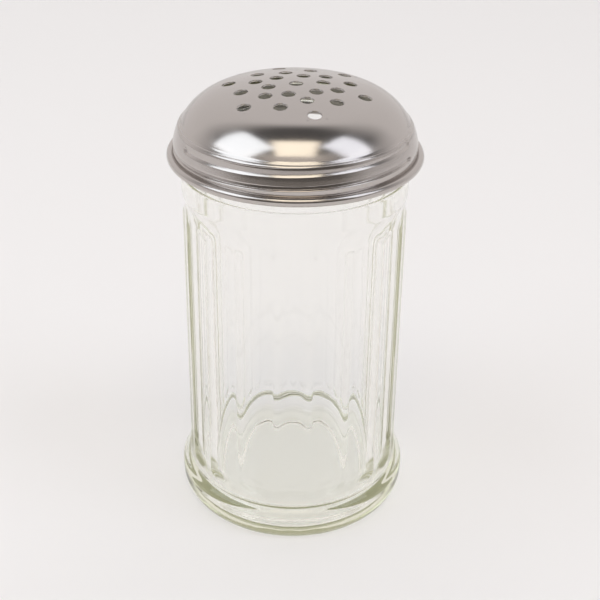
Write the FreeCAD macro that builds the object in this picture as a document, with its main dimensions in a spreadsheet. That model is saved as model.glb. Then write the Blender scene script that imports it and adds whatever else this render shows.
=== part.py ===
import FreeCAD, Part
import math
import os
from types import SimpleNamespace

import Sketcher
from FreeCAD import Placement, Rotation, Vector

# A glass spice shaker with a perforated dome lid that screws on.
# Millimetres, +Z up, origin under the middle of the jar's foot, the front towards -Y.
# A turn is an angle in degrees, anticlockwise seen from above, counted from +X.

SIZES = {
    # Jar, outside
    "body_radius": 34.2,
    "foot_flare": 2.7,
    "foot_undercut": 2.3,
    "foot_ring_width": 9.6,
    "foot_widest_height": 5.8,
    "foot_band_width": 2.4,
    "foot_edge_radius": 3.0,
    "foot_root_radius": 4.0,
    "base_recess_depth": 1.2,
    "base_slope_width": 3.0,
    "base_crown": 0.4,
    "collar_gap": 3.4,
    "collar_edge_radius": 0.3,
    "waist_gap": 6.7,
    "waist_height": 8.0,
    "waist_depth": 0.7,
    # Jar, flutes
    "flute_count": 18,
    "flute_land_width": 0.9,
    "flute_hollow": 0.25,
    "flute_bottom_margin": 0.9,
    "flute_top_margin": 7.1,
    "flute_end_radius": 8.9,
    # Jar, neck and inside
    "rim_height": 128.2,
    "rim_flat_width": 0.5,
    "neck_step": 0.5,
    "neck_wall": 3.7,
    "floor_height": 7.2,
    "floor_corner_radius": 2.2,
    "floor_crown": 0.8,
    # Threads
    "thread_pitch": 4.5,
    "thread_clearance": 0.3,
    "thread_end_swell": 0.06,
    "jar_thread_bead": 1.05,
    "jar_thread_inset": 0.4,
    "jar_thread_lead_angle": 190.0,
    "jar_thread_sweep_angle": 290.0,
    "groove_bead": 0.8,
    "groove_over_curl": 3.7,
    "low_groove_lead_angle": 120.0,
    "low_groove_sweep_angle": 184.0,
    "high_groove_lead_angle": 60.0,
    "high_groove_sweep_angle": 125.0,
    # Lid sheet
    "sheet_gauge": 0.5,
    "seat_gap": 0.3,
    "skirt_clearance": 1.9,
    "skirt_depth": 11.0,
    "shoulder_radius": 6.0,
    "shoulder_drop": 4.5,
    "ledge_width": 1.0,
    "dome_edge_radius": 17.0,
    "dome_edge_drop": 9.36,
    "crown_rise": 2.3,
    # Rolled rim
    "curl_radius": 1.3,
    "curl_sweep_angle": 297.0,
    "curl_seam_gap": 0.1,
    # Shaker holes
    "hole_diameter": 4.0,
    "first_ring_radius": 8.2,
    "ring_spacing": 4.1,
    "holes_per_ring": 6,
    "hole_ring_angle": 14.8,
    # How far every cutting body runs past what it cuts
    "overrun": 3.0,
}
HOLE_RINGS = 4
FULL_TURN = 360.0


class Size:
    """A number together with the formula that gives it from the sheet's cells."""

    def __init__(self, value, formula):
        self.value = float(value)
        self.formula = formula

    def __add__(self, other):
        return joined(self, "+", other, self.value + amount(other))

    def __sub__(self, other):
        return joined(self, "-", other, self.value - amount(other))

    def __mul__(self, other):
        return joined(self, "*", other, self.value * amount(other))

    def __truediv__(self, other):
        return joined(self, "/", other, self.value / amount(other))

    def __neg__(self):
        return Size(-self.value, "(-%s)" % self.formula)


def amount(number):
    return number.value if isinstance(number, Size) else float(number)


def formula(number):
    return number.formula if isinstance(number, Size) else "%r" % number


def joined(left, sign, right, value):
    return Size(value, "(%s %s %s)" % (formula(left), sign, formula(right)))


def root(number):
    return Size(math.sqrt(number.value), "sqrt(%s)" % number.formula)


def cosine(turn):
    return Size(math.cos(math.radians(turn.value)), "cos(%s)" % turn.formula)


def sine(turn):
    return Size(math.sin(math.radians(turn.value)), "sin(%s)" % turn.formula)


def leg(longest, other):
    """Third side of a right-angled triangle."""
    return root(longest * longest - other * other)


def arc_radius(half_width, rise):
    """Radius of the arc that rises this much over this half width."""
    return (half_width * half_width + rise * rise) / (rise * 2)


doc = FreeCAD.newDocument("spice_shaker")
sheet = doc.addObject("Spreadsheet::Sheet", "sizes")
for row, (alias, value) in enumerate(SIZES.items(), start=1):
    sheet.set("A%d" % row, alias)
    sheet.set("B%d" % row, "%r" % value)
    sheet.setAlias("B%d" % row, alias)
doc.recompute()
s = SimpleNamespace(**{alias: Size(value, "sizes.%s" % alias) for alias, value in SIZES.items()})
zero = Size(0, "0")
half_turn = Size(FULL_TURN / 2, "180")
front_turn = -half_turn / 2


# Radii and heights that more than one piece follows

def foot_radius():
    return s.body_radius + s.foot_flare


def neck_radius():
    return s.body_radius - s.neck_step


def skirt_radius():
    """Outside of the lid's skirt, which hangs clear of the neck."""
    return neck_radius() + s.skirt_clearance + s.sheet_gauge


def ledge_height():
    """Top of the flat ring that rests over the jar's rim."""
    return s.rim_height + s.seat_gap + s.sheet_gauge


def curl_height():
    return ledge_height() - s.skirt_depth


def groove_height():
    """Height of the lid's lower groove at the front."""
    return curl_height() + s.groove_over_curl


def collar_height():
    """Top of the jar's body, below the rolled rim of the closed lid."""
    return curl_height() - s.curl_radius - s.collar_gap


# Helpers for the features

def new_body(label):
    body = doc.addObject("PartDesign::Body", label)
    body.Label = label
    return body


def origin_part(body, role):
    return next(part for part in body.Origin.OriginFeatures if part.Role == role)


def attach(owner, body, role, base=(zero, zero, zero), turn=None):
    """Puts a sketch or solid on a plane of its body, moved by base and turned about the plane's Y."""
    owner.AttachmentSupport = [(origin_part(body, role), "")]
    owner.MapMode = "FlatFace"
    spin = Rotation(Vector(0, 1, 0), turn.value if turn else 0)
    owner.AttachmentOffset = Placement(Vector(*[part.value for part in base]), spin)
    for letter, part in zip("xyz", base):
        if part is not zero:
            owner.setExpression("AttachmentOffset.Base.%s" % letter, part.formula)
    if turn:
        owner.setExpression("AttachmentOffset.Rotation.Angle", turn.formula)


def new_sketch(body, label, role="XZ_Plane", base=(zero, zero, zero), turn=None):
    sketch = body.newObject("Sketcher::SketchObject", label)
    attach(sketch, body, role, base, turn)
    return sketch


def fix_number(sketch, kind, where, size):
    """Adds one dimension to a sketch and ties it to its formula."""
    index = sketch.addConstraint(Sketcher.Constraint(kind, *where, size.value))
    name = "size_%d" % index
    sketch.renameConstraint(index, name)
    sketch.setExpression("Constraints.%s" % name, size.formula)


def fix_point(sketch, item, end, across, up):
    """Ties a point of the sketch to its two coordinates."""
    for kind, axis, size in (("DistanceX", -2, across), ("DistanceY", -1, up)):
        if size is zero:
            sketch.addConstraint(Sketcher.Constraint("PointOnObject", item, end, axis))
        else:
            fix_number(sketch, kind, (-1, 1, item, end), size)


def middle_of_arc(start, stop, radius):
    """Point halfway along the shorter arc; a positive radius bulges to the right of the way."""
    chord = stop - start
    half = chord.Length / 2
    rise = abs(radius) - math.sqrt(max(radius * radius - half * half, 0))
    aside = Vector(chord.y, -chord.x, 0).normalize()
    return (start + stop) / 2 + aside * math.copysign(rise, radius)


def closed_outline(sketch, corners):
    """Closed outline of lines and arcs; a corner is (across, up) or (across, up, arc radius after it)."""
    points = [Vector(corner[0].value, corner[1].value, 0) for corner in corners]
    ends = []
    for index, corner in enumerate(corners):
        start = points[index]
        stop = points[(index + 1) % len(points)]
        if len(corner) == 2:
            sketch.addGeometry(Part.LineSegment(start, stop), False)
            ends.append((1, 2))
        else:
            arc = Part.Arc(start, middle_of_arc(start, stop, corner[2].value), stop)
            sketch.addGeometry(arc, False)
            drawn = sketch.getPoint(index, 1)
            ends.append((1, 2) if (drawn - start).Length < (drawn - stop).Length else (2, 1))
    for index, corner in enumerate(corners):
        after = (index + 1) % len(corners)
        sketch.addConstraint(Sketcher.Constraint("Coincident", index, ends[index][1], after, ends[after][0]))
    for index, corner in enumerate(corners):
        fix_point(sketch, index, ends[index][0], corner[0], corner[1])
        if len(corner) == 3:
            size = corner[2] if corner[2].value > 0 else -corner[2]
            fix_number(sketch, "Radius", (index,), size)


def circle(sketch, across, up, radius):
    middle = Vector(across.value, up.value, 0)
    item = sketch.addGeometry(Part.Circle(middle, Vector(0, 0, 1), radius.value), False)
    fix_number(sketch, "Radius", (item,), radius)
    fix_point(sketch, item, 3, across, up)


def revolved(body, label, kind, sketch):
    feature = body.newObject(kind, label)
    feature.Profile = (sketch, [""])
    feature.ReferenceAxis = (sketch, ["V_Axis"])
    feature.Angle = FULL_TURN
    return feature


def wound(body, label, kind, sketch, sweep):
    """Carries a section along the thread's helix, climbing as it turns anticlockwise."""
    feature = body.newObject(kind, label)
    feature.Profile = (sketch, [""])
    feature.ReferenceAxis = (sketch, ["V_Axis"])
    feature.Mode = "pitch-height-angle"
    feature.setExpression("Pitch", s.thread_pitch.formula)
    feature.setExpression("Height", thread_rise(sweep).formula)
    return feature


def thread_rise(turn):
    return s.thread_pitch * turn / FULL_TURN


def ball(body, label, kind, turn, across, up, section_radius):
    """A ball on the helix, a little wider than the wound section, which rounds its end."""
    feature = body.newObject(kind, label)
    feature.setExpression("Radius", (section_radius + s.thread_end_swell).formula)
    attach(feature, body, "XZ_Plane", (across * cosine(turn), up, -(across * sine(turn))))
    return feature


def repeated(body, label, feature, count):
    pattern = body.newObject("PartDesign::PolarPattern", label)
    pattern.Originals = [feature]
    pattern.Axis = (origin_part(body, "Z_Axis"), [""])
    pattern.Angle = FULL_TURN
    pattern.setExpression("Occurrences", count.formula)
    body.Tip = pattern
    return pattern


# Glass jar

def s_curve_rise():
    """Height between the top of the foot's band and the start of the straight body."""
    both = s.foot_edge_radius + s.foot_root_radius
    return leg(both, both - s.foot_flare)


def body_start():
    return s.foot_widest_height + s.foot_band_width + s_curve_rise()


def jar_outline():
    ring_outer = foot_radius() - s.foot_undercut
    ring_inner = ring_outer - s.foot_ring_width
    recess = ring_inner - s.base_slope_width
    side_radius = arc_radius(s.foot_widest_height, s.foot_undercut)
    band_top = s.foot_widest_height + s.foot_band_width
    share = s.foot_edge_radius / (s.foot_edge_radius + s.foot_root_radius)
    collar = collar_height()
    neck = neck_radius()
    mouth = neck - s.neck_wall
    rim_radius = (s.neck_wall - s.rim_flat_width) / 2
    floor_edge = mouth - s.floor_corner_radius
    waist_top = collar - s.waist_gap
    waist_radius = arc_radius(s.waist_height / 2, s.waist_depth)
    return [
        (zero, s.base_recess_depth + s.base_crown, -arc_radius(recess, s.base_crown)),
        (recess, s.base_recess_depth),
        (ring_inner, zero),
        (ring_outer, zero, side_radius),
        (foot_radius(), s.foot_widest_height),
        (foot_radius(), band_top, s.foot_edge_radius),
        (foot_radius() - s.foot_flare * share, band_top + s_curve_rise() * share, -s.foot_root_radius),
        (s.body_radius, body_start()),
        (s.body_radius, waist_top - s.waist_height, -waist_radius),
        (s.body_radius, waist_top),
        (s.body_radius, collar - s.collar_edge_radius, s.collar_edge_radius),
        (s.body_radius - s.collar_edge_radius, collar),
        (neck, collar),
        (neck, s.rim_height - rim_radius, rim_radius),
        (neck - rim_radius, s.rim_height),
        (mouth + rim_radius, s.rim_height, rim_radius),
        (mouth, s.rim_height - rim_radius),
        (mouth, s.floor_height + s.floor_corner_radius, -s.floor_corner_radius),
        (floor_edge, s.floor_height, arc_radius(floor_edge, s.floor_crown)),
        (zero, s.floor_height + s.floor_crown),
    ]


def add_flutes(body):
    """Hollows side by side round the body, each cut by a round body with rounded ends."""
    half_chord = s.body_radius * sine(half_turn / s.flute_count) - s.flute_land_width / 2
    bottom = leg(s.body_radius, half_chord) - s.flute_hollow
    depth = s.body_radius - bottom
    cutter = arc_radius(half_chord, s.flute_hollow)
    reach = root(s.flute_end_radius * depth * 2 - depth * depth)
    low = body_start() + s.flute_bottom_margin + reach
    high = collar_height() - s.flute_top_margin - reach
    sketch = new_sketch(body, "flute_section", base=(bottom + cutter, zero, zero))
    closed_outline(sketch, [
        (zero, low - s.flute_end_radius),
        (cutter - s.flute_end_radius, low - s.flute_end_radius, s.flute_end_radius),
        (cutter, low),
        (cutter, high, s.flute_end_radius),
        (cutter - s.flute_end_radius, high + s.flute_end_radius),
        (zero, high + s.flute_end_radius),
    ])
    flute = revolved(body, "flute", "PartDesign::Groove", sketch)
    repeated(body, "flutes", flute, s.flute_count)


def jar_thread_across():
    return neck_radius() + s.jar_thread_inset


def jar_thread_lift():
    """Height of the jar's thread over the lid's, where the two just clear each other."""
    apart = s.jar_thread_bead + s.groove_bead + s.sheet_gauge + s.thread_clearance
    return leg(apart, skirt_radius() - jar_thread_across())


def add_jar_thread(body):
    across = jar_thread_across()
    first = front_turn - s.jar_thread_lead_angle
    low = groove_height() + jar_thread_lift() - thread_rise(s.jar_thread_lead_angle)
    sketch = new_sketch(body, "thread_section", turn=first)
    circle(sketch, across, low, s.jar_thread_bead)
    wound(body, "thread", "PartDesign::AdditiveHelix", sketch, s.jar_thread_sweep_angle)
    ball(body, "thread_start", "PartDesign::AdditiveSphere", first, across, low, s.jar_thread_bead)
    last = first + s.jar_thread_sweep_angle
    high = low + thread_rise(s.jar_thread_sweep_angle)
    ball(body, "thread_end", "PartDesign::AdditiveSphere", last, across, high, s.jar_thread_bead)


def make_jar():
    body = new_body("glass_jar")
    sketch = new_sketch(body, "jar_section")
    closed_outline(sketch, jar_outline())
    revolved(body, "jar_blank", "PartDesign::Revolution", sketch)
    add_flutes(body)
    add_jar_thread(body)
    return body


# Lid

def dome_height():
    return s.dome_edge_radius - s.dome_edge_drop + s.crown_rise


def seam_height():
    """Bottom edge of the skirt, just over the rolled rim."""
    return curl_height() + s.curl_seam_gap


def shoulder_reach(inset):
    """How far out the rounded shoulder starts, this far inside the sheet's outer face."""
    across = skirt_radius() - s.shoulder_radius
    return across + leg(s.shoulder_radius - inset, s.shoulder_drop - inset)


def lid_outline():
    """Section of the drawn sheet: skirt, shoulder, flat ledge, dome edge and crown."""
    gauge = s.sheet_gauge
    skirt = skirt_radius()
    ledge = ledge_height()
    skirt_top = ledge - s.shoulder_drop
    top = ledge + dome_height()
    edge = s.dome_edge_radius
    dome_foot = shoulder_reach(zero) - s.ledge_width
    across = dome_foot - leg(edge, s.dome_edge_drop)
    inner_dome_foot = across + leg(edge - gauge, s.dome_edge_drop - gauge)
    span = arc_radius(across, s.crown_rise)
    crown = span + edge
    lean = across / span
    upright = (span - s.crown_rise) / span
    return [
        (skirt - gauge, seam_height()),
        (skirt, seam_height()),
        (skirt, skirt_top, s.shoulder_radius),
        (shoulder_reach(zero), ledge),
        (dome_foot, ledge, edge),
        (crown * lean, top - crown + crown * upright, crown),
        (zero, top),
        (zero, top - gauge, -(crown - gauge)),
        ((crown - gauge) * lean, top - crown + (crown - gauge) * upright, -(edge - gauge)),
        (inner_dome_foot, ledge - gauge),
        (shoulder_reach(gauge), ledge - gauge, -(s.shoulder_radius - gauge)),
        (skirt - gauge, skirt_top),
    ]


def add_ridge(body, label, lead, sweep):
    """The ridge inside the skirt, a sheet's gauge round the groove that forms it."""
    ridge = s.groove_bead + s.sheet_gauge
    margin = half_turn * ridge / skirt_radius() / math.pi
    sketch = new_sketch(body, "%s_ridge_section" % label, turn=front_turn - lead - margin)
    circle(sketch, skirt_radius(), groove_height() - thread_rise(lead + margin), ridge)
    wound(body, "%s_ridge" % label, "PartDesign::AdditiveHelix", sketch, sweep + margin * 2)


def cut_groove(body, label, lead, sweep):
    """The groove outside the skirt, closed by a ball at each end."""
    bead = s.groove_bead
    across = skirt_radius()
    first = front_turn - lead
    low = groove_height() - thread_rise(lead)
    high = low + thread_rise(sweep)
    sketch = new_sketch(body, "%s_groove_section" % label, turn=first)
    circle(sketch, across, low, bead)
    wound(body, "%s_groove" % label, "PartDesign::SubtractiveHelix", sketch, sweep)
    ball(body, "%s_groove_start" % label, "PartDesign::SubtractiveSphere", first, across, low, bead)
    ball(body, "%s_groove_end" % label, "PartDesign::SubtractiveSphere", first + sweep, across, high, bead)


def add_lid_threads(body):
    """Two stretches of one thread, pressed in the sheet: the upper one starts a turn above the lower."""
    stretches = [
        ("low", s.low_groove_lead_angle, s.low_groove_sweep_angle),
        ("high", s.high_groove_lead_angle - FULL_TURN, s.high_groove_sweep_angle),
    ]
    for label, lead, sweep in stretches:
        add_ridge(body, label, lead, sweep)
    trim_outside(body)
    for label, lead, sweep in stretches:
        cut_groove(body, label, lead, sweep)


def trim_outside(body):
    """Takes away what the ridges leave outside the skirt and the shoulder."""
    skirt = skirt_radius()
    ledge = ledge_height()
    bottom = seam_height() - s.overrun
    sketch = new_sketch(body, "outside_section")
    closed_outline(sketch, [
        (skirt, bottom),
        (skirt + s.overrun, bottom),
        (skirt + s.overrun, ledge + s.overrun),
        (shoulder_reach(zero), ledge + s.overrun),
        (shoulder_reach(zero), ledge, -s.shoulder_radius),
        (skirt, ledge - s.shoulder_drop),
    ])
    revolved(body, "outside_trim", "PartDesign::Groove", sketch)


def add_holes(body):
    hole = s.hole_diameter / 2
    base = (zero, zero, ledge_height() + dome_height() + s.overrun)
    centre = new_sketch(body, "centre_hole_outline", "XY_Plane", base)
    circle(centre, zero, zero, hole)
    rings = new_sketch(body, "ring_hole_outline", "XY_Plane", base)
    for ring in range(HOLE_RINGS):
        turn = s.hole_ring_angle + half_turn / s.holes_per_ring * (ring % 2)
        radius = s.first_ring_radius + s.ring_spacing * ring
        circle(rings, radius * cosine(turn), radius * sine(turn), hole)
    for label, sketch in (("centre_hole", centre), ("ring_holes", rings)):
        pocket = body.newObject("PartDesign::Pocket", label)
        pocket.Profile = sketch
        pocket.Type = "Length"
        pocket.setExpression("Length", (dome_height() + s.overrun).formula)
    repeated(body, "all_holes", pocket, s.holes_per_ring)


def make_lid():
    body = new_body("dome_lid")
    sketch = new_sketch(body, "lid_section")
    closed_outline(sketch, lid_outline())
    revolved(body, "lid_blank", "PartDesign::Revolution", sketch)
    add_lid_threads(body)
    add_holes(body)
    return body


def make_rim():
    """The skirt's lower edge, rolled outwards until it almost meets the skirt again."""
    body = new_body("rolled_rim")
    across = skirt_radius() - s.sheet_gauge + s.curl_radius
    inner = s.curl_radius - s.sheet_gauge
    turns = [half_turn, half_turn + s.curl_sweep_angle / 2, half_turn + s.curl_sweep_angle]

    def on_curl(radius, turn):
        return across + radius * cosine(turn), curl_height() + radius * sine(turn)

    sketch = new_sketch(body, "rim_section")
    closed_outline(sketch, [
        on_curl(s.curl_radius, turns[0]) + (s.curl_radius,),
        on_curl(s.curl_radius, turns[1]) + (s.curl_radius,),
        on_curl(s.curl_radius, turns[2]),
        on_curl(inner, turns[2]) + (-inner,),
        on_curl(inner, turns[1]) + (-inner,),
        on_curl(inner, turns[0]),
    ])
    revolved(body, "curl", "PartDesign::Revolution", sketch)
    return body


bodies = [make_jar(), make_lid(), make_rim()]
doc.recompute()
for item in doc.Objects:
    if "Invalid" in item.State or "Error" in item.State:
        raise RuntimeError("%s failed: %s" % (item.Label, item.State))
for body in bodies:
    if body.Shape.isNull() or not body.Shape.isValid():
        raise RuntimeError("%s has no valid shape" % body.Label)
os.makedirs("parts", exist_ok=True)
for body in bodies:
    body.Shape.exportStep("parts/%s.step" % body.Label)
    box = body.Shape.BoundBox
    print(body.Label, "solids", len(body.Shape.Solids), "volume %.1f" % body.Shape.Volume, box)
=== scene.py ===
import math

import bpy
import numpy as np
from mathutils import Matrix, Vector, noise
from mathutils.geometry import delaunay_2d_cdt


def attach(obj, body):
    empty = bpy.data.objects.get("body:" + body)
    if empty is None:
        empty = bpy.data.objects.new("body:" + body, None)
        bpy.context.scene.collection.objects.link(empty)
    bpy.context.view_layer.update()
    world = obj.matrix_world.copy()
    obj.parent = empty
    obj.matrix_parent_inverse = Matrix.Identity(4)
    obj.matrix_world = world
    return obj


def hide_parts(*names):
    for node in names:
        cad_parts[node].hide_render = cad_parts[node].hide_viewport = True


# A fluted glass spice shaker with a perforated steel dome lid, on a pale studio floor.
# The shaker's lengths are millimetres where they are named and metres once they are in a mesh.
# The studio's lengths are metres.
# The front is towards -Y. A turn is in degrees, anticlockwise seen from above, counted from +X.

MM = 0.001
SAME_POINT = 1e-6
FRONT_TURN = -90.0

# Jar
BODY_RADIUS = 34.2
FOOT_RADIUS = 36.9
FOOT_RING_OUTER = 34.6
FOOT_RING_INNER = 25.0
FOOT_WIDEST = 5.8
FOOT_BAND_TOP = 8.2
FOOT_EDGE_RADIUS = 3.0
FOOT_ROOT_RADIUS = 4.0
RECESS_DEPTH = 1.2
RECESS_SLOPE = 3.0
RECESS_CROWN = 0.4
COLLAR_HEIGHT = 113.3
COLLAR_EDGE_RADIUS = 0.3
WAIST_TOP = 106.6
WAIST_HEIGHT = 8.0
WAIST_DEPTH = 0.7
NECK_RADIUS = 33.7
NECK_ROOT_RADIUS = 0.15
RIM_HEIGHT = 128.2
RIM_RADIUS = 1.6
MOUTH_RADIUS = 30.0
MOUTH_BOTTOM = 113.2
FLOOR_HEIGHT = 7.2
FLOOR_CORNER_RADIUS = 2.2
FLOOR_CROWN = 0.8
FLUTE_COUNT = 18
FLUTE_LAND = 0.9
FLUTE_HOLLOW = 0.4
FLUTE_BOTTOM = 14.62
FLUTE_TOP = 106.2
FLUTE_BOTTOM_RADIUS = 8.9
FLUTE_TOP_RADIUS = 32.0
FLUTE_EDGE_SOFTNESS = 0.4
FLUTE_CLEARANCE = 3.0
WALL_WAVE = 0.07
WALL_WAVE_LENGTH = 17.0
WALL_WAVE_FADE = 10.0
JAR_THREAD_ACROSS = 34.1
JAR_THREAD_BEAD = 1.05
JAR_THREAD_START = -280.0
JAR_THREAD_STOP = 10.0
JAR_THREAD_HEIGHT = 123.44
JAR_THREAD_FADE = 8.0
JAR_THREAD_SOFTNESS = 0.3
JAR_THREAD_CLEARANCE = 2.0

# The jar's mesh: how far apart its rows are, and the heights between which the body needs few
FINE_ROWS = 0.35
NECK_ROWS = 0.3
SHORT_ROWS = 0.8
FOOT_RING_ROWS = 1.0
PLAIN_ROWS = 2.0
PLAIN_BOTTOM = 22.0
PLAIN_TOP = 96.0

# Lid
PITCH = 4.5
GAUGE = 0.5
SKIRT_RADIUS = 36.1
SKIRT_TOP = 124.5
DOME_FOOT_RADIUS = 33.60
DOME_FOOT_HEIGHT = 128.14
DOME_EDGE_RADIUS = 17.0
DOME_EDGE_DROP = 8.50
CROWN_RISE = 2.3
GROOVE_HEIGHT = 121.45
# Below the dome: across, height, and the distance over which the corner is rounded
SIDE_CORNERS = (
    (DOME_FOOT_RADIUS, DOME_FOOT_HEIGHT, 0.05), (34.15, 127.66, 0.08), (34.17, 127.50, 0.03),
    (34.38, 127.35, 0.05), (34.64, 127.08, 0.08), (34.98, 126.40, 0.20), (35.42, 125.10, 0.20),
    (35.60, 124.55, 0.20), (35.85, 123.70, 0.30), (36.07, 122.80, 0.20), (36.20, 122.25, 0.05),
    (36.20, 118.10, 0.00),
)
# A groove's section: half widths above its middle, share of its depth, and the rounding of that corner
LOW_SECTION = (
    (1.4, 0, 0), (0.93, 0, 0.04), (0.8, 1, 0.1), (-0.42, 0.62, 0.06),
    (-0.62, 0.20, 0.05), (-0.86, 0, 0.05), (-1.4, 0, 0),
)
HIGH_SECTION = (
    (1.4, 0, 0), (0.87, 0, 0.05), (0.80, 0.35, 0.05), (-0.62, 1, 0.04),
    (-0.72, 0.62, 0.04), (-1.1, 0, 0.1), (-1.4, 0, 0),
)
# Each groove: first turn, last turn, half width, depth and section
GROOVES = (
    (-210.0, -26.0, 0.80, 0.95, LOW_SECTION),
    (210.0, 335.0, 1.25, 0.46, HIGH_SECTION),
)
CURL_ACROSS = 36.9
CURL_HEIGHT = 118.0
CURL_RADIUS = 1.3
CURL_SWEEP = 297.0
HOLE_RADIUS = 2.0
HOLE_LIP = 0.14
HOLE_LIP_TURNS = (30, 60, 90)
HOLE_RINGS = (8.2, 12.3, 16.4, 20.5)
HOLES_PER_RING = 6
HOLE_TURN = 14.8

# The lid's mesh: its columns, and how far apart the rows of its side and the points of its crown are
EVERY_DEGREE = np.arange(360.0)
OUTER_ROWS = 0.09
INNER_ROWS = 0.18
CROWN_SPACING = 0.8
# A hole's sides, the two rings of extra points round it, and how far from its edge
# the crown's own points stay
HOLE_SIDES = 48
HOLE_NEAR_RING = 0.22
HOLE_FAR_RING = 0.55
HOLE_CLEARANCE = 0.9

# Camera
CAMERA_DISTANCE = 332.58
CAMERA_HEIGHT = 252.86
CAMERA_PITCH = 29.164
CAMERA_YAW = 0.336
CAMERA_ROLL = 0.764
CAMERA_LENS = 71.83
CAMERA_SENSOR = 36.0

# Looks
GLASS_COLOUR = (0.992, 0.992, 0.99, 1)
GLASS_SHADOW_COLOUR = (0.985, 0.985, 0.975, 1)
GLASS_BODY_COLOUR = (0.872, 0.868, 0.60, 1)
GLASS_BODY_DENSITY = 9.5
# Light that the glass has reflected more often than this goes straight on and takes this colour
TRAPPED_REFLECTIONS = 3.5
TRAPPED_COLOUR = (0.78, 0.785, 0.70, 1)
STEEL_COLOUR = (0.52, 0.485, 0.465, 1)
STEEL_ROUGHNESS = 0.18
# The lid's inner face: its darker colour is painted shade, and its higher roughness is that of unpolished
# steel
INNER_STEEL_SHADE_COLOUR = (0.22, 0.205, 0.165, 1)
INNER_STEEL_ROUGHNESS = 0.45
ROUGHNESS_SPREAD = 0.05
FLOOR_COLOUR = (0.86, 0.842, 0.845, 1)

# Lamps: name, azimuth, elevation, distance, width, height, radiance and colour
PANELS = (
    ("left_panel", -72, 47, 3.0, 2.06, 2.1, 2.0, (0.87, 0.94, 1.0)),
    ("right_panel", 70, 46, 3.0, 1.38, 2.1, 1.78, (0.86, 0.91, 1.0)),
    ("front_panel", 0, 64.5, 3.0, 1.7, 1.63, 1.95, (1.0, 0.92, 0.76)),
)
FILL = ("overhead_fill", 0, 90, 5.0, 7.0, 7.0, 0.62, (1.0, 0.99, 0.985))
LAMP_TARGET_HEIGHT = 0.12

# The room: its level at each height of the direction looked in, 0 being level and 1 straight up
BACK_LEVELS = ((0.0, 0.84), (0.82, 0.84), (0.875, 0.72), (0.955, 0.12), (1.0, 0.10))
SIDE_LEVELS = ((0.0, 0.65), (0.40, 0.50), (0.62, 0.15), (1.0, 0.11))
FRONT_LEVELS = (
    (0.0, 0.30), (0.15, 0.12), (0.50, 0.12), (0.58, 0.50),
    (0.66, 0.85), (0.74, 0.90), (0.78, 0.09), (1.0, 0.09),
)
ROOM_TINT = (1, 0.965, 0.95)
FRONT_TINT = (1, 0.92, 0.84)
# Where along Y the front passes into the sides, and the sides into the back
FRONT_TO_SIDES = (-0.75, -0.35)
SIDES_TO_BACK = (0.10, 0.50)


# Outlines

def arc_points(centre, radius, start, stop, count):
    """Points along an arc, both ends included; the angles are in degrees."""
    turns = np.radians(np.linspace(start, stop, count))
    return [(centre[0] + radius * math.cos(t), centre[1] + radius * math.sin(t)) for t in turns]


def line_points(start, stop, step):
    count = max(2, int(math.ceil(math.dist(start, stop) / step)) + 1)
    return [tuple(p) for p in np.linspace(start, stop, count)]


def rounded_outline(corners, count=6):
    """Straight runs between corners of (x, y, rounding), each corner rounded over its own distance."""
    points = [tuple(corners[0][:2])]
    for before, corner, after in zip(corners, corners[1:], corners[2:]):
        place = np.array(corner[:2])
        back = np.array(before[:2]) - place
        ahead = np.array(after[:2]) - place
        cut = min(corner[2], np.hypot(*back) / 2, np.hypot(*ahead) / 2)
        start = place + back / np.hypot(*back) * cut
        stop = place + ahead / np.hypot(*ahead) * cut
        for t in np.linspace(0, 1, count):
            points.append(tuple((1 - t) ** 2 * start + 2 * t * (1 - t) * place + t * t * stop))
    points.append(tuple(corners[-1][:2]))
    return points


def joined_outline(*stretches):
    """One list of points from stretches that may share their end points."""
    outline = []
    for stretch in stretches:
        for point in stretch:
            if not outline or math.dist(outline[-1], point) > SAME_POINT:
                outline.append(point)
    return outline


# Meshes

def new_piece(name, points, faces, material, body):
    """Makes an object from points in millimetres, smooth shaded, riding a body."""
    mesh = bpy.data.meshes.new(name)
    mesh.from_pydata((np.asarray(points) * MM).tolist(), [], faces)
    mesh.validate()
    mesh.update()
    mesh.shade_smooth()
    mesh.materials.append(material)
    piece = bpy.data.objects.new(name, mesh)
    bpy.context.scene.collection.objects.link(piece)
    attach(piece, body)
    return piece


def band_faces(rows, columns, first=0, closed=False):
    """Quads between rows of points round the axis, row after row."""
    faces = []
    for row in range(rows if closed else rows - 1):
        here = first + row * columns
        above = first + ((row + 1) % rows) * columns
        for column in range(columns):
            after = (column + 1) % columns
            faces.append((here + column, here + after, above + after, above + column))
    return faces


def round_points(outline, turns):
    """Rows of points: an outline of (across, height) carried round the axis."""
    across = np.array([p[0] for p in outline])[:, None]
    height = np.array([p[1] for p in outline])[:, None]
    angle = np.radians(turns)[None, :]
    level = np.broadcast_to(height, (len(outline), len(turns)))
    return np.stack([across * np.cos(angle), across * np.sin(angle), level], axis=-1)


def soft_min(a, b, softness):
    """The smaller of two values, rounded where they are closer than the softness."""
    share = np.clip(0.5 + 0.5 * (b - a) / softness, 0, 1)
    return b * (1 - share) + a * share - softness * share * (1 - share)


def soft_max(a, b, softness):
    return -soft_min(-a, -b, softness)


# Glass jar

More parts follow.
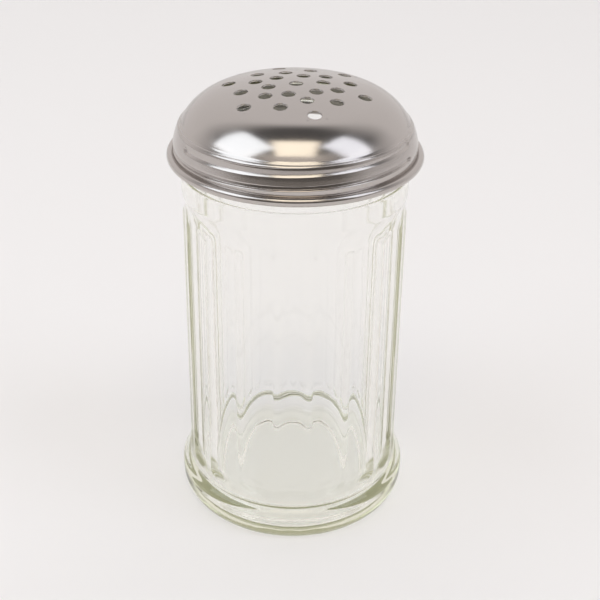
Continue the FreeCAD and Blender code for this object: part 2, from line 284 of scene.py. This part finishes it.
def flute_radius(turn, height):
    """How far from the axis the surface of the nearest flute is; a large number where it has none."""
    step = 360.0 / FLUTE_COUNT
    off = np.radians((turn - FRONT_TURN + step / 2) % step - step / 2)
    half_chord = BODY_RADIUS * math.sin(math.pi / FLUTE_COUNT) - FLUTE_LAND / 2
    bottom = math.sqrt(BODY_RADIUS ** 2 - half_chord ** 2) - FLUTE_HOLLOW
    cutter = (half_chord ** 2 + FLUTE_HOLLOW ** 2) / (2 * FLUTE_HOLLOW)
    depth = BODY_RADIUS - bottom
    tool = np.full(np.broadcast(turn, height).shape, cutter)
    for end, radius in ((height - FLUTE_TOP, FLUTE_TOP_RADIUS), (FLUTE_BOTTOM - height, FLUTE_BOTTOM_RADIUS)):
        past = np.clip(end + math.sqrt(2 * radius * depth - depth ** 2), 0, radius)
        tool = tool - radius + np.sqrt(radius ** 2 - past ** 2)
    centre = bottom + cutter
    inside = tool ** 2 - (centre * np.sin(off)) ** 2
    hollow = (tool > 0) & (inside > 0)
    return np.where(hollow, centre * np.cos(off) - np.sqrt(np.maximum(inside, 0)), 2 * BODY_RADIUS)


def thread_radius(turn, height):
    """The bead of the jar's thread, which runs out into the neck at both ends."""
    best = np.zeros(np.broadcast(turn, height).shape)
    for lap in (-360.0, 0.0, 360.0):
        here = turn + lap
        level = JAR_THREAD_HEIGHT + PITCH * (here - FRONT_TURN) / 360
        fade = np.clip(np.minimum(here - JAR_THREAD_START, JAR_THREAD_STOP - here) / JAR_THREAD_FADE + 1, 0, 1)
        off = height - level
        bead = np.sqrt(np.maximum(JAR_THREAD_BEAD ** 2 - off ** 2, 0)) - JAR_THREAD_BEAD * (1 - fade)
        inside = (np.abs(off) < JAR_THREAD_BEAD) & (fade > 0)
        best = np.maximum(best, np.where(inside, JAR_THREAD_ACROSS + bead, 0))
    return best


def waist_points():
    """The shallow hollow round the body, just below its plain collar."""
    half = WAIST_HEIGHT / 2
    radius = (half ** 2 + WAIST_DEPTH ** 2) / (2 * WAIST_DEPTH)
    turn = math.degrees(math.asin(half / radius))
    centre = (BODY_RADIUS - WAIST_DEPTH + radius, WAIST_TOP - half)
    return arc_points(centre, radius, 180 + turn, 180 - turn, 25)


def recess_step(start, stop):
    """The soft step from the hollow under the jar down to the ring that it stands on."""
    share = np.linspace(0, 1, 21)
    return [(start + (stop - start) * t, RECESS_DEPTH * 0.5 * (1 + math.cos(math.pi * t))) for t in share]


def jar_outside():
    """Bottom centre to the outer edge of the rim."""
    both = FOOT_EDGE_RADIUS + FOOT_ROOT_RADIUS
    lean = math.degrees(math.acos(1 - (FOOT_RADIUS - BODY_RADIUS) / both))
    rise = both * math.sin(math.radians(lean))
    body_start = FOOT_BAND_TOP + rise
    recess = FOOT_RING_INNER - RECESS_SLOPE
    dish = (recess ** 2 + RECESS_CROWN ** 2) / (2 * RECESS_CROWN)
    dish_turn = math.degrees(math.asin(recess / dish))
    heel = FOOT_RADIUS - FOOT_RING_OUTER
    side = (FOOT_WIDEST ** 2 + heel ** 2) / (2 * heel)
    side_turn = math.degrees(math.asin(FOOT_WIDEST / side))
    return joined_outline(
        arc_points((0, RECESS_DEPTH + RECESS_CROWN - dish), dish, 90, 90 - dish_turn, 14),
        recess_step(recess, FOOT_RING_INNER),
        line_points((FOOT_RING_INNER, 0), (FOOT_RING_OUTER, 0), FOOT_RING_ROWS),
        arc_points((FOOT_RADIUS - side, FOOT_WIDEST), side, -side_turn, 0, 12),
        line_points((FOOT_RADIUS, FOOT_WIDEST), (FOOT_RADIUS, FOOT_BAND_TOP), SHORT_ROWS),
        arc_points((FOOT_RADIUS - FOOT_EDGE_RADIUS, FOOT_BAND_TOP), FOOT_EDGE_RADIUS, 0, lean, 9),
        arc_points((BODY_RADIUS + FOOT_ROOT_RADIUS, body_start), FOOT_ROOT_RADIUS, 180 + lean, 180, 11),
        line_points((BODY_RADIUS, body_start), (BODY_RADIUS, PLAIN_BOTTOM), FINE_ROWS),
        line_points((BODY_RADIUS, PLAIN_BOTTOM), (BODY_RADIUS, PLAIN_TOP), PLAIN_ROWS),
        line_points((BODY_RADIUS, PLAIN_TOP), (BODY_RADIUS, WAIST_TOP - WAIST_HEIGHT), FINE_ROWS),
        waist_points(),
        line_points((BODY_RADIUS, WAIST_TOP),
                    (BODY_RADIUS, COLLAR_HEIGHT - COLLAR_EDGE_RADIUS), SHORT_ROWS),
        arc_points((BODY_RADIUS - COLLAR_EDGE_RADIUS, COLLAR_HEIGHT - COLLAR_EDGE_RADIUS),
                   COLLAR_EDGE_RADIUS, 0, 90, 7),
        arc_points((NECK_RADIUS + NECK_ROOT_RADIUS, COLLAR_HEIGHT + NECK_ROOT_RADIUS),
                   NECK_ROOT_RADIUS, 270, 180, 5),
        line_points((NECK_RADIUS, COLLAR_HEIGHT + NECK_ROOT_RADIUS),
                    (NECK_RADIUS, RIM_HEIGHT - RIM_RADIUS), NECK_ROWS),
        arc_points((NECK_RADIUS - RIM_RADIUS, RIM_HEIGHT - RIM_RADIUS), RIM_RADIUS, 0, 90, 9),
    )


def jar_inside():
    """Inner edge of the rim to the middle of the floor."""
    corner = MOUTH_RADIUS - FLOOR_CORNER_RADIUS
    dome = (corner ** 2 + FLOOR_CROWN ** 2) / (2 * FLOOR_CROWN)
    dome_turn = math.degrees(math.asin(corner / dome))
    return joined_outline(
        arc_points((MOUTH_RADIUS + RIM_RADIUS, RIM_HEIGHT - RIM_RADIUS), RIM_RADIUS, 90, 180, 9),
        line_points((MOUTH_RADIUS, RIM_HEIGHT - RIM_RADIUS),
                    (MOUTH_RADIUS, FLOOR_HEIGHT + FLOOR_CORNER_RADIUS), PLAIN_ROWS),
        arc_points((corner, FLOOR_HEIGHT + FLOOR_CORNER_RADIUS), FLOOR_CORNER_RADIUS, 0, -90, 12),
        arc_points((0, FLOOR_HEIGHT + FLOOR_CROWN - dome), dome, 90 - dome_turn, 90, 14),
    )


def flute_turns():
    """Columns round the jar, closer together at the ridges between the flutes."""
    each = 26
    crowding = 0.55
    share = np.arange(each) / each * 2 - 1
    step = 360.0 / FLUTE_COUNT
    local = step / 2 * (share + crowding / math.pi * np.sin(math.pi * share))
    return np.concatenate([FRONT_TURN + step * flute + local for flute in range(FLUTE_COUNT)])


def wave_inside(points):
    """Slow uneven waves in the glass's inner face, less towards the rim."""
    for row in points:
        for point in row:
            spot = Vector(point) / WALL_WAVE_LENGTH
            fade = min(1.0, (MOUTH_BOTTOM - point[2]) / WALL_WAVE_FADE) if point[2] < MOUTH_BOTTOM else 0.0
            across = math.hypot(point[0], point[1])
            move = WALL_WAVE * fade * noise.noise(spot)
            if across > MOUTH_RADIUS - FLOOR_CORNER_RADIUS:
                point[0] *= 1 + move / across
                point[1] *= 1 + move / across
            else:
                point[2] += move


def make_jar(material):
    turns = flute_turns()
    outside = round_points(jar_outside()[1:], turns)
    height = outside[..., 2]
    across = np.hypot(outside[..., 0], outside[..., 1])
    angle = turns[None, :]
    fluted = soft_min(across, flute_radius(angle, height), FLUTE_EDGE_SOFTNESS)
    body = (height > FOOT_BAND_TOP + FLUTE_CLEARANCE) & (height < COLLAR_HEIGHT - COLLAR_EDGE_RADIUS)
    threaded = soft_max(across, thread_radius(angle, height), JAR_THREAD_SOFTNESS)
    neck = (height > COLLAR_HEIGHT + JAR_THREAD_CLEARANCE) & (height < RIM_HEIGHT - RIM_RADIUS)
    reach = np.where(body, fluted, np.where(neck, threaded, across))
    outside[..., :2] *= (reach / across)[..., None]
    inside = round_points(jar_inside()[:-1], turns)
    wave_inside(inside)
    rows = np.concatenate([outside, inside])
    columns = len(turns)
    points = rows.reshape(-1, 3).tolist()
    faces = band_faces(len(rows), columns)
    points.append((0, 0, RECESS_DEPTH + RECESS_CROWN))
    points.append((0, 0, FLOOR_HEIGHT + FLOOR_CROWN))
    last = (len(rows) - 1) * columns
    for column in range(columns):
        after = (column + 1) % columns
        faces.append((after, column, len(points) - 2))
        faces.append((last + column, last + after, len(points) - 1))
    jar = new_piece("fluted_jar", points, faces, material, "jar")
    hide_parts("glass_jar")
    return jar


# Dome lid

def dome_shape():
    """How far from the axis the rounded edge is centred, and how far from there the crown is centred."""
    across = DOME_FOOT_RADIUS - math.sqrt(DOME_EDGE_RADIUS ** 2 - DOME_EDGE_DROP ** 2)
    span = (across ** 2 + CROWN_RISE ** 2) / (2 * CROWN_RISE)
    return across, span


def dome_height(across, inset):
    """Height of the crown at a distance from the axis, this far inside the outer face."""
    _, span = dome_shape()
    crown = span + DOME_EDGE_RADIUS
    top = DOME_FOOT_HEIGHT + DOME_EDGE_RADIUS - DOME_EDGE_DROP + CROWN_RISE
    return top - crown + np.sqrt((crown - inset) ** 2 - np.asarray(across) ** 2)


def crown_edge(inset):
    """Where the crown meets the rounded edge of the dome."""
    edge_across, span = dome_shape()
    return (span + DOME_EDGE_RADIUS - inset) * edge_across / span


def lid_side(inset):
    """Outline from the crown's edge down to the bottom of the skirt, this far inside the outer face."""
    edge_across, span = dome_shape()
    lean = math.degrees(math.asin(edge_across / span))
    edge_end = math.degrees(math.asin((DOME_EDGE_DROP - inset) / (DOME_EDGE_RADIUS - inset)))
    centre = (edge_across, DOME_FOOT_HEIGHT - DOME_EDGE_DROP)
    edge = arc_points(centre, DOME_EDGE_RADIUS - inset, 90 - lean, edge_end, 26)
    corners = rounded_outline(SIDE_CORNERS)
    step = INNER_ROWS if inset else OUTER_ROWS
    pairs = [(a, b) for a, b in zip(corners, corners[1:]) if math.dist(a, b) > SAME_POINT]
    moved = []
    for across, height in joined_outline(*[line_points(a, b, step) for a, b in pairs]):
        turn = math.pi / 2 * min(1.0, max(0.0, (height - SKIRT_TOP) / (DOME_FOOT_HEIGHT - SKIRT_TOP)))
        moved.append((across - inset * math.cos(turn), height - inset * math.sin(turn)))
    return joined_outline(edge, moved)


def groove_depth(turn, height):
    """How deep the pressed thread is at a place on the skirt; both ends are rounded."""
    depth = np.zeros(np.broadcast(turn, height).shape)
    for start, stop, half_width, deepest, section in GROOVES:
        across, share = np.array(rounded_outline(section)[::-1]).T
        for lap in (-360.0, 0.0, 360.0):
            here = turn + lap
            off = height - (GROOVE_HEIGHT + PITCH * (here - FRONT_TURN) / 360)
            beyond = np.maximum(np.maximum(start - here, here - stop), 0) * math.pi / 180 * SKIRT_RADIUS
            place = np.where(off < 0, -1, 1) * np.hypot(off, beyond) / half_width
            depth = np.maximum(depth, deepest * np.interp(place, across, share, left=0, right=0))
    return depth


def hole_centres():
    centres = [(0.0, 0.0)]
    for ring, radius in enumerate(HOLE_RINGS):
        for hole in range(HOLES_PER_RING):
            turn = math.radians(HOLE_TURN + 180 / HOLES_PER_RING * (ring % 2) + 360 / HOLES_PER_RING * hole)
            centres.append((radius * math.cos(turn), radius * math.sin(turn)))
    return centres


def circle_points(centre, radius, count):
    turns = np.arange(count) / count * 2 * math.pi
    return [(centre[0] + radius * math.cos(t), centre[1] + radius * math.sin(t)) for t in turns]


def crown_with_holes(edge, turns, hole_radius):
    """Flat triangles of a disc with round holes: its points, its faces and each hole's ring of points."""
    points = [(edge * math.cos(math.radians(t)), edge * math.sin(math.radians(t))) for t in turns]
    edges = [(i, (i + 1) % len(points)) for i in range(len(points))]
    rings = []
    centres = hole_centres()
    for centre in centres:
        first = len(points)
        points += circle_points(centre, hole_radius, HOLE_SIDES)
        rings.append(list(range(first, first + HOLE_SIDES)))
        edges += [(first + i, first + (i + 1) % HOLE_SIDES) for i in range(HOLE_SIDES)]
        points += circle_points(centre, hole_radius + HOLE_NEAR_RING, HOLE_SIDES)
        points += circle_points(centre, hole_radius + HOLE_FAR_RING, HOLE_SIDES // 2)
    for ring in range(1, int(edge / CROWN_SPACING)):
        radius = edge - ring * CROWN_SPACING
        count = max(6, int(2 * math.pi * radius / CROWN_SPACING))
        for point in circle_points((0, 0), radius, count):
            if min(math.dist(point, centre) for centre in centres) > hole_radius + HOLE_CLEARANCE:
                points.append(point)
    placed, _, faces, origins, _, _ = delaunay_2d_cdt([Vector(p) for p in points], edges, [], 0, SAME_POINT)
    back = [origin[0] for origin in origins]
    kept = []
    for face in faces:
        middle = sum((placed[i] for i in face), Vector((0, 0))) / len(face)
        if min(math.dist(middle, centre) for centre in centres) > hole_radius:
            kept.append(tuple(back[i] for i in face))
    return points, kept, rings


def lid_face(inset, turns, hole_radius):
    """One face of the sheet: its points, its faces, each hole's ring and the ring at the skirt's bottom."""
    flat, faces, rings = crown_with_holes(crown_edge(inset), turns, hole_radius)
    across = np.hypot([p[0] for p in flat], [p[1] for p in flat])
    height = dome_height(across, inset)
    points = [(p[0], p[1], z) for p, z in zip(flat, height)]
    side = round_points(lid_side(inset)[1:], turns)
    angle = np.asarray(turns)[None, :]
    reach = np.hypot(side[..., 0], side[..., 1])
    depth = groove_depth(angle, side[..., 2])
    side[..., :2] *= ((reach - depth) / reach)[..., None]
    first = len(points)
    columns = len(turns)
    points += side.reshape(-1, 3).tolist()
    faces += [(b, a, d, c) for a, b, c, d in band_faces(len(side), columns, first)]
    faces += [(i, first + i, first + (i + 1) % columns, (i + 1) % columns) for i in range(columns)]
    bottom = list(range(first + (len(side) - 1) * columns, first + len(side) * columns))
    return points, faces, rings, bottom


def make_lid(outside, inside):
    """The sheet's two faces, joined along the skirt's bottom and through each hole."""
    turns = EVERY_DEGREE
    outer, outer_faces, outer_rings, outer_bottom = lid_face(0.0, turns, HOLE_RADIUS + HOLE_LIP)
    inner, inner_faces, inner_rings, inner_bottom = lid_face(GAUGE, turns, HOLE_RADIUS)
    points = outer + inner
    shift = len(outer)
    faces = outer_faces + [tuple(shift + i for i in reversed(face)) for face in inner_faces]
    inner_bottom = [shift + i for i in inner_bottom]
    for i in range(len(turns)):
        after = (i + 1) % len(turns)
        faces.append((outer_bottom[i], inner_bottom[i], inner_bottom[after], outer_bottom[after]))
    for centre, outer_ring, inner_ring in zip(hole_centres(), outer_rings, inner_rings):
        loops = [outer_ring]
        for turn in HOLE_LIP_TURNS:
            lip = HOLE_LIP * (1 - math.sin(math.radians(turn)))
            down = HOLE_LIP * (1 - math.cos(math.radians(turn)))
            loop = []
            for x, y in circle_points(centre, HOLE_RADIUS + lip, len(outer_ring)):
                loop.append(len(points))
                points.append((x, y, float(dome_height(math.hypot(x, y), down))))
            loops.append(loop)
        loops.append([shift + i for i in inner_ring])
        for upper, lower in zip(loops, loops[1:]):
            for i in range(len(upper)):
                after = (i + 1) % len(upper)
                faces.append((upper[i], upper[after], lower[after], lower[i]))
    lid = new_piece("shaker_lid", points, faces, outside, "lid")
    lid.data.materials.append(inside)
    for face in lid.data.polygons:
        if shift <= min(face.vertices) and max(face.vertices) < shift + len(inner):
            face.material_index = 1
    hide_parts("dome_lid")
    return lid


def make_rim(material):
    """The skirt's lower edge rolled outwards: a ring with the section of a nearly closed C."""
    centre = (CURL_ACROSS, CURL_HEIGHT)
    outer = arc_points(centre, CURL_RADIUS, 180, 180 + CURL_SWEEP, 60)
    tip_radius = GAUGE / 2
    tip_turn = math.radians(180 + CURL_SWEEP)
    middle = CURL_RADIUS - tip_radius
    tip = (centre[0] + middle * math.cos(tip_turn), centre[1] + middle * math.sin(tip_turn))
    end = arc_points(tip, tip_radius, 180 + CURL_SWEEP, 360 + CURL_SWEEP, 7)
    inner = arc_points(centre, CURL_RADIUS - GAUGE, 180 + CURL_SWEEP, 180, 50)
    outline = joined_outline(outer, end, inner)
    rows = round_points(outline, EVERY_DEGREE)
    faces = band_faces(len(rows), len(EVERY_DEGREE), closed=True)
    rim = new_piece("rolled_edge", rows.reshape(-1, 3).tolist(), faces, material, "rim")
    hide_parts("rolled_rim")
    return rim


# Materials

def new_material(name):
    material = bpy.data.materials.new(name)
    material.use_nodes = True
    tree = material.node_tree
    return material, tree, tree.nodes["Principled BSDF"]


def noise_texture(tree, scale, detail, stretch=(1, 1, 1)):
    place = tree.nodes.new("ShaderNodeTexCoord")
    mapping = tree.nodes.new("ShaderNodeMapping")
    mapping.inputs["Scale"].default_value = stretch
    texture = tree.nodes.new("ShaderNodeTexNoise")
    texture.inputs["Scale"].default_value = scale
    texture.inputs["Detail"].default_value = detail
    tree.links.new(place.outputs["Object"], mapping.inputs["Vector"])
    tree.links.new(mapping.outputs["Vector"], texture.inputs["Vector"])
    return texture


def ranged(tree, source, low, high, from_low=0.0, from_high=1.0):
    node = tree.nodes.new("ShaderNodeMapRange")
    node.inputs["From Min"].default_value = from_low
    node.inputs["From Max"].default_value = from_high
    node.inputs["To Min"].default_value = low
    node.inputs["To Max"].default_value = high
    tree.links.new(source, node.inputs["Value"])
    return node.outputs["Result"]


def bumped(tree, shader, source, strength, distance):
    bump = tree.nodes.new("ShaderNodeBump")
    bump.inputs["Strength"].default_value = strength
    bump.inputs["Distance"].default_value = distance
    tree.links.new(source, bump.inputs["Height"])
    tree.links.new(bump.outputs["Normal"], shader.inputs["Normal"])


def mixed_with_clear(tree, factor, surface, colour):
    clear = tree.nodes.new("ShaderNodeBsdfTransparent")
    clear.inputs["Color"].default_value = colour
    mix = tree.nodes.new("ShaderNodeMixShader")
    tree.links.new(factor, mix.inputs["Fac"])
    tree.links.new(surface, mix.inputs[1])
    tree.links.new(clear.outputs["BSDF"], mix.inputs[2])
    return mix.outputs["Shader"]


def glass_material():
    material, tree, shader = new_material("pressed_glass")
    shader.inputs["Base Color"].default_value = GLASS_COLOUR
    shader.inputs["Roughness"].default_value = 0.0
    shader.inputs["IOR"].default_value = 1.5
    shader.inputs["Transmission Weight"].default_value = 1.0
    output = tree.nodes["Material Output"]
    body = tree.nodes.new("ShaderNodeVolumeAbsorption")
    body.inputs["Color"].default_value = GLASS_BODY_COLOUR
    body.inputs["Density"].default_value = GLASS_BODY_DENSITY
    tree.links.new(body.outputs["Volume"], output.inputs["Volume"])
    path = tree.nodes.new("ShaderNodeLightPath")
    trapped = tree.nodes.new("ShaderNodeMath")
    trapped.operation = "GREATER_THAN"
    trapped.inputs[1].default_value = TRAPPED_REFLECTIONS
    tree.links.new(path.outputs["Glossy Depth"], trapped.inputs[0])
    inner = mixed_with_clear(tree, trapped.outputs["Value"], shader.outputs["BSDF"], TRAPPED_COLOUR)
    outer = mixed_with_clear(tree, path.outputs["Is Shadow Ray"], inner, GLASS_SHADOW_COLOUR)
    tree.links.new(outer, output.inputs["Surface"])
    wave = noise_texture(tree, scale=90, detail=2)
    bumped(tree, shader, wave.outputs["Fac"], strength=0.15, distance=0.0006)
    return material


def steel_material(name, colour, roughness):
    material, tree, shader = new_material(name)
    shader.inputs["Base Color"].default_value = colour
    shader.inputs["Metallic"].default_value = 1.0
    cloud = noise_texture(tree, scale=160, detail=4)
    uneven = ranged(tree, cloud.outputs["Fac"], roughness - ROUGHNESS_SPREAD, roughness + ROUGHNESS_SPREAD)
    tree.links.new(uneven, shader.inputs["Roughness"])
    grain = noise_texture(tree, scale=2500, detail=3, stretch=(1, 1, 2.5))
    bumped(tree, shader, grain.outputs["Fac"], strength=0.12, distance=0.00004)
    return material


def floor_material():
    material, _, shader = new_material("pale_floor")
    shader.inputs["Base Color"].default_value = FLOOR_COLOUR
    shader.inputs["Roughness"].default_value = 0.9
    shader.inputs["Specular IOR Level"].default_value = 0.1
    return material


# Studio

def make_floor():
    half = 3.0
    drop = -0.00002
    mesh = bpy.data.meshes.new("floor")
    corners = [(-half, -half, drop), (half, -half, drop), (half, half, drop), (-half, half, drop)]
    mesh.from_pydata(corners, [], [(0, 1, 2, 3)])
    mesh.materials.append(floor_material())
    floor = bpy.data.objects.new("floor", mesh)
    bpy.context.scene.collection.objects.link(floor)


def sky_direction(azimuth, elevation):
    """Unit vector; azimuth 0 is towards the camera and grows to its right."""
    a = math.radians(azimuth)
    e = math.radians(elevation)
    return Vector((math.sin(a) * math.cos(e), -math.cos(a) * math.cos(e), math.sin(e)))


def add_panel(name, azimuth, elevation, distance, width, height, radiance, colour):
    """A soft lamp that faces the lid; its power follows from the radiance it shows."""
    lamp = bpy.data.lights.new(name, "AREA")
    lamp.shape = "RECTANGLE"
    lamp.size = width
    lamp.size_y = height
    lamp.color = colour
    lamp.energy = radiance * math.pi * width * height
    panel = bpy.data.objects.new(name, lamp)
    target = Vector((0, 0, LAMP_TARGET_HEIGHT))
    way = sky_direction(azimuth, elevation)
    panel.location = target + way * distance
    panel.rotation_euler = (-way).to_track_quat("-Z", "Y").to_euler()
    bpy.context.scene.collection.objects.link(panel)
    return panel


def make_lamps():
    for panel in PANELS:
        add_panel(*panel)
    fill = add_panel(*FILL)
    fill.visible_glossy = False


def ramp(tree, source, stops, tint):
    node = tree.nodes.new("ShaderNodeValToRGB")
    elements = node.color_ramp.elements
    while len(elements) < len(stops):
        elements.new(0.5)
    for element, (place, level) in zip(elements, stops):
        element.position = place
        element.color = (level * tint[0], level * tint[1], level * tint[2], 1)
    tree.links.new(source, node.inputs["Fac"])
    return node.outputs["Color"]


def colour_mix(tree, factor, first, second):
    mix = tree.nodes.new("ShaderNodeMix")
    mix.data_type = "RGBA"
    # In its colour form this node takes the colours in sockets 6 and 7 and gives the result in socket 2
    tree.links.new(factor, mix.inputs[0])
    tree.links.new(first, mix.inputs[6])
    tree.links.new(second, mix.inputs[7])
    return mix.outputs[2]


def make_world():
    """A pale room: bright behind the object, dim overhead, and with one soft glow on the camera's side."""
    world = bpy.data.worlds.new("studio")
    world.use_nodes = True
    bpy.context.scene.world = world
    tree = world.node_tree
    place = tree.nodes.new("ShaderNodeTexCoord")
    split = tree.nodes.new("ShaderNodeSeparateXYZ")
    tree.links.new(place.outputs["Generated"], split.inputs["Vector"])
    height = split.outputs["Z"]
    back = ramp(tree, height, BACK_LEVELS, ROOM_TINT)
    sides = ramp(tree, height, SIDE_LEVELS, ROOM_TINT)
    front = ramp(tree, height, FRONT_LEVELS, FRONT_TINT)
    near = colour_mix(tree, ranged(tree, split.outputs["Y"], 0.0, 1.0, *FRONT_TO_SIDES), front, sides)
    sky = colour_mix(tree, ranged(tree, split.outputs["Y"], 0.0, 1.0, *SIDES_TO_BACK), near, back)
    background = tree.nodes["Background"]
    tree.links.new(sky, background.inputs["Color"])
    background.inputs["Strength"].default_value = 1.0


def make_camera():
    pitch = math.radians(CAMERA_PITCH)
    yaw = math.radians(CAMERA_YAW)
    roll = math.radians(CAMERA_ROLL)
    forward = Vector((math.sin(yaw) * math.cos(pitch), math.cos(yaw) * math.cos(pitch), -math.sin(pitch)))
    level = Vector((math.cos(yaw), -math.sin(yaw), 0))
    upright = level.cross(forward)
    right = level * math.cos(roll) + upright * math.sin(roll)
    up = upright * math.cos(roll) - level * math.sin(roll)
    data = bpy.data.cameras.new("camera")
    data.lens = CAMERA_LENS
    data.sensor_width = CAMERA_SENSOR
    camera = bpy.data.objects.new("camera", data)
    axes = Matrix((right, up, -forward)).transposed().to_4x4()
    camera.matrix_world = Matrix.Translation(Vector((0, -CAMERA_DISTANCE, CAMERA_HEIGHT)) * MM) @ axes
    bpy.context.scene.collection.objects.link(camera)
    bpy.context.scene.camera = camera


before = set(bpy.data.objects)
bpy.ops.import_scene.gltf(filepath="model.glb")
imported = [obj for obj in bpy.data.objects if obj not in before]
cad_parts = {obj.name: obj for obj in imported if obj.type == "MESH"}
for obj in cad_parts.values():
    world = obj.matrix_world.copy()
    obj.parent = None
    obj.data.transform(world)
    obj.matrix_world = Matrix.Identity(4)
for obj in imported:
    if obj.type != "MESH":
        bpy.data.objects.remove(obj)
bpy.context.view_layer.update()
steel = steel_material("satin_steel", STEEL_COLOUR, STEEL_ROUGHNESS)
# The inside of the lid: rougher steel, with shade painted into its darker colour
dull_shaded_steel = steel_material("unpolished_steel_painted_shade", INNER_STEEL_SHADE_COLOUR, INNER_STEEL_ROUGHNESS)
make_jar(glass_material())
make_lid(steel, dull_shaded_steel)
make_rim(steel)
make_floor()
make_lamps()
make_world()
make_camera()
bpy.context.scene.view_settings.view_transform = "Standard"
